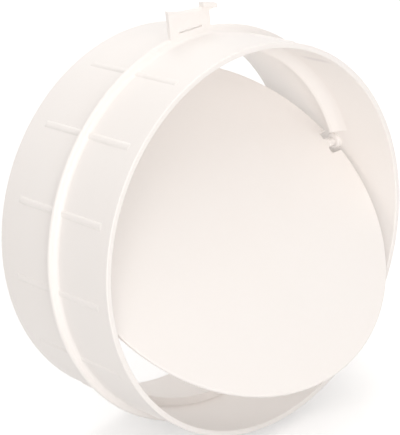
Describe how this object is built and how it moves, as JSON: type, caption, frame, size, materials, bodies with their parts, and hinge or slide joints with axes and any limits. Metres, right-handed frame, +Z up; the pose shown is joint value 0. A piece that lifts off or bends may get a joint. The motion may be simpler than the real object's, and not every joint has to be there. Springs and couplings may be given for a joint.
{
  "type": "duct backdraft damper",
  "caption": "Round moulded plastic duct connector with a stop collar, grip ribs, a hanger tab and a disc flap, pivoted off centre, that swings shut against half-ring seats to stop backdraft.",
  "frame": {"origin": "on the duct's axis, in the plane of the collar's rear face, where the rear duct stops", "axes": "+Y along the duct's axis, out of the rear mouth; +Z up, to the hanger tab; X along the hinge axis"},
  "size_m": [0.1552, 0.0948, 0.1648],
  "materials": {
    "housing_plastic": "warm white moulded ABS, satin",
    "flap_plastic": "warm white moulded ABS, satin"
  },
  "bodies": {
    "housing": {"housing": "housing_plastic"},
    "flap": {"flap": "flap_plastic"}
  },
  "joints": [
    {"name": "flap_swing", "type": "hinge", "parent": "housing", "child": "flap", "pos_m": [0, 0.0006, 0.0133], "axis": [-1, 0, 0], "range_deg": [-41.5, 33.5]}
  ]
}
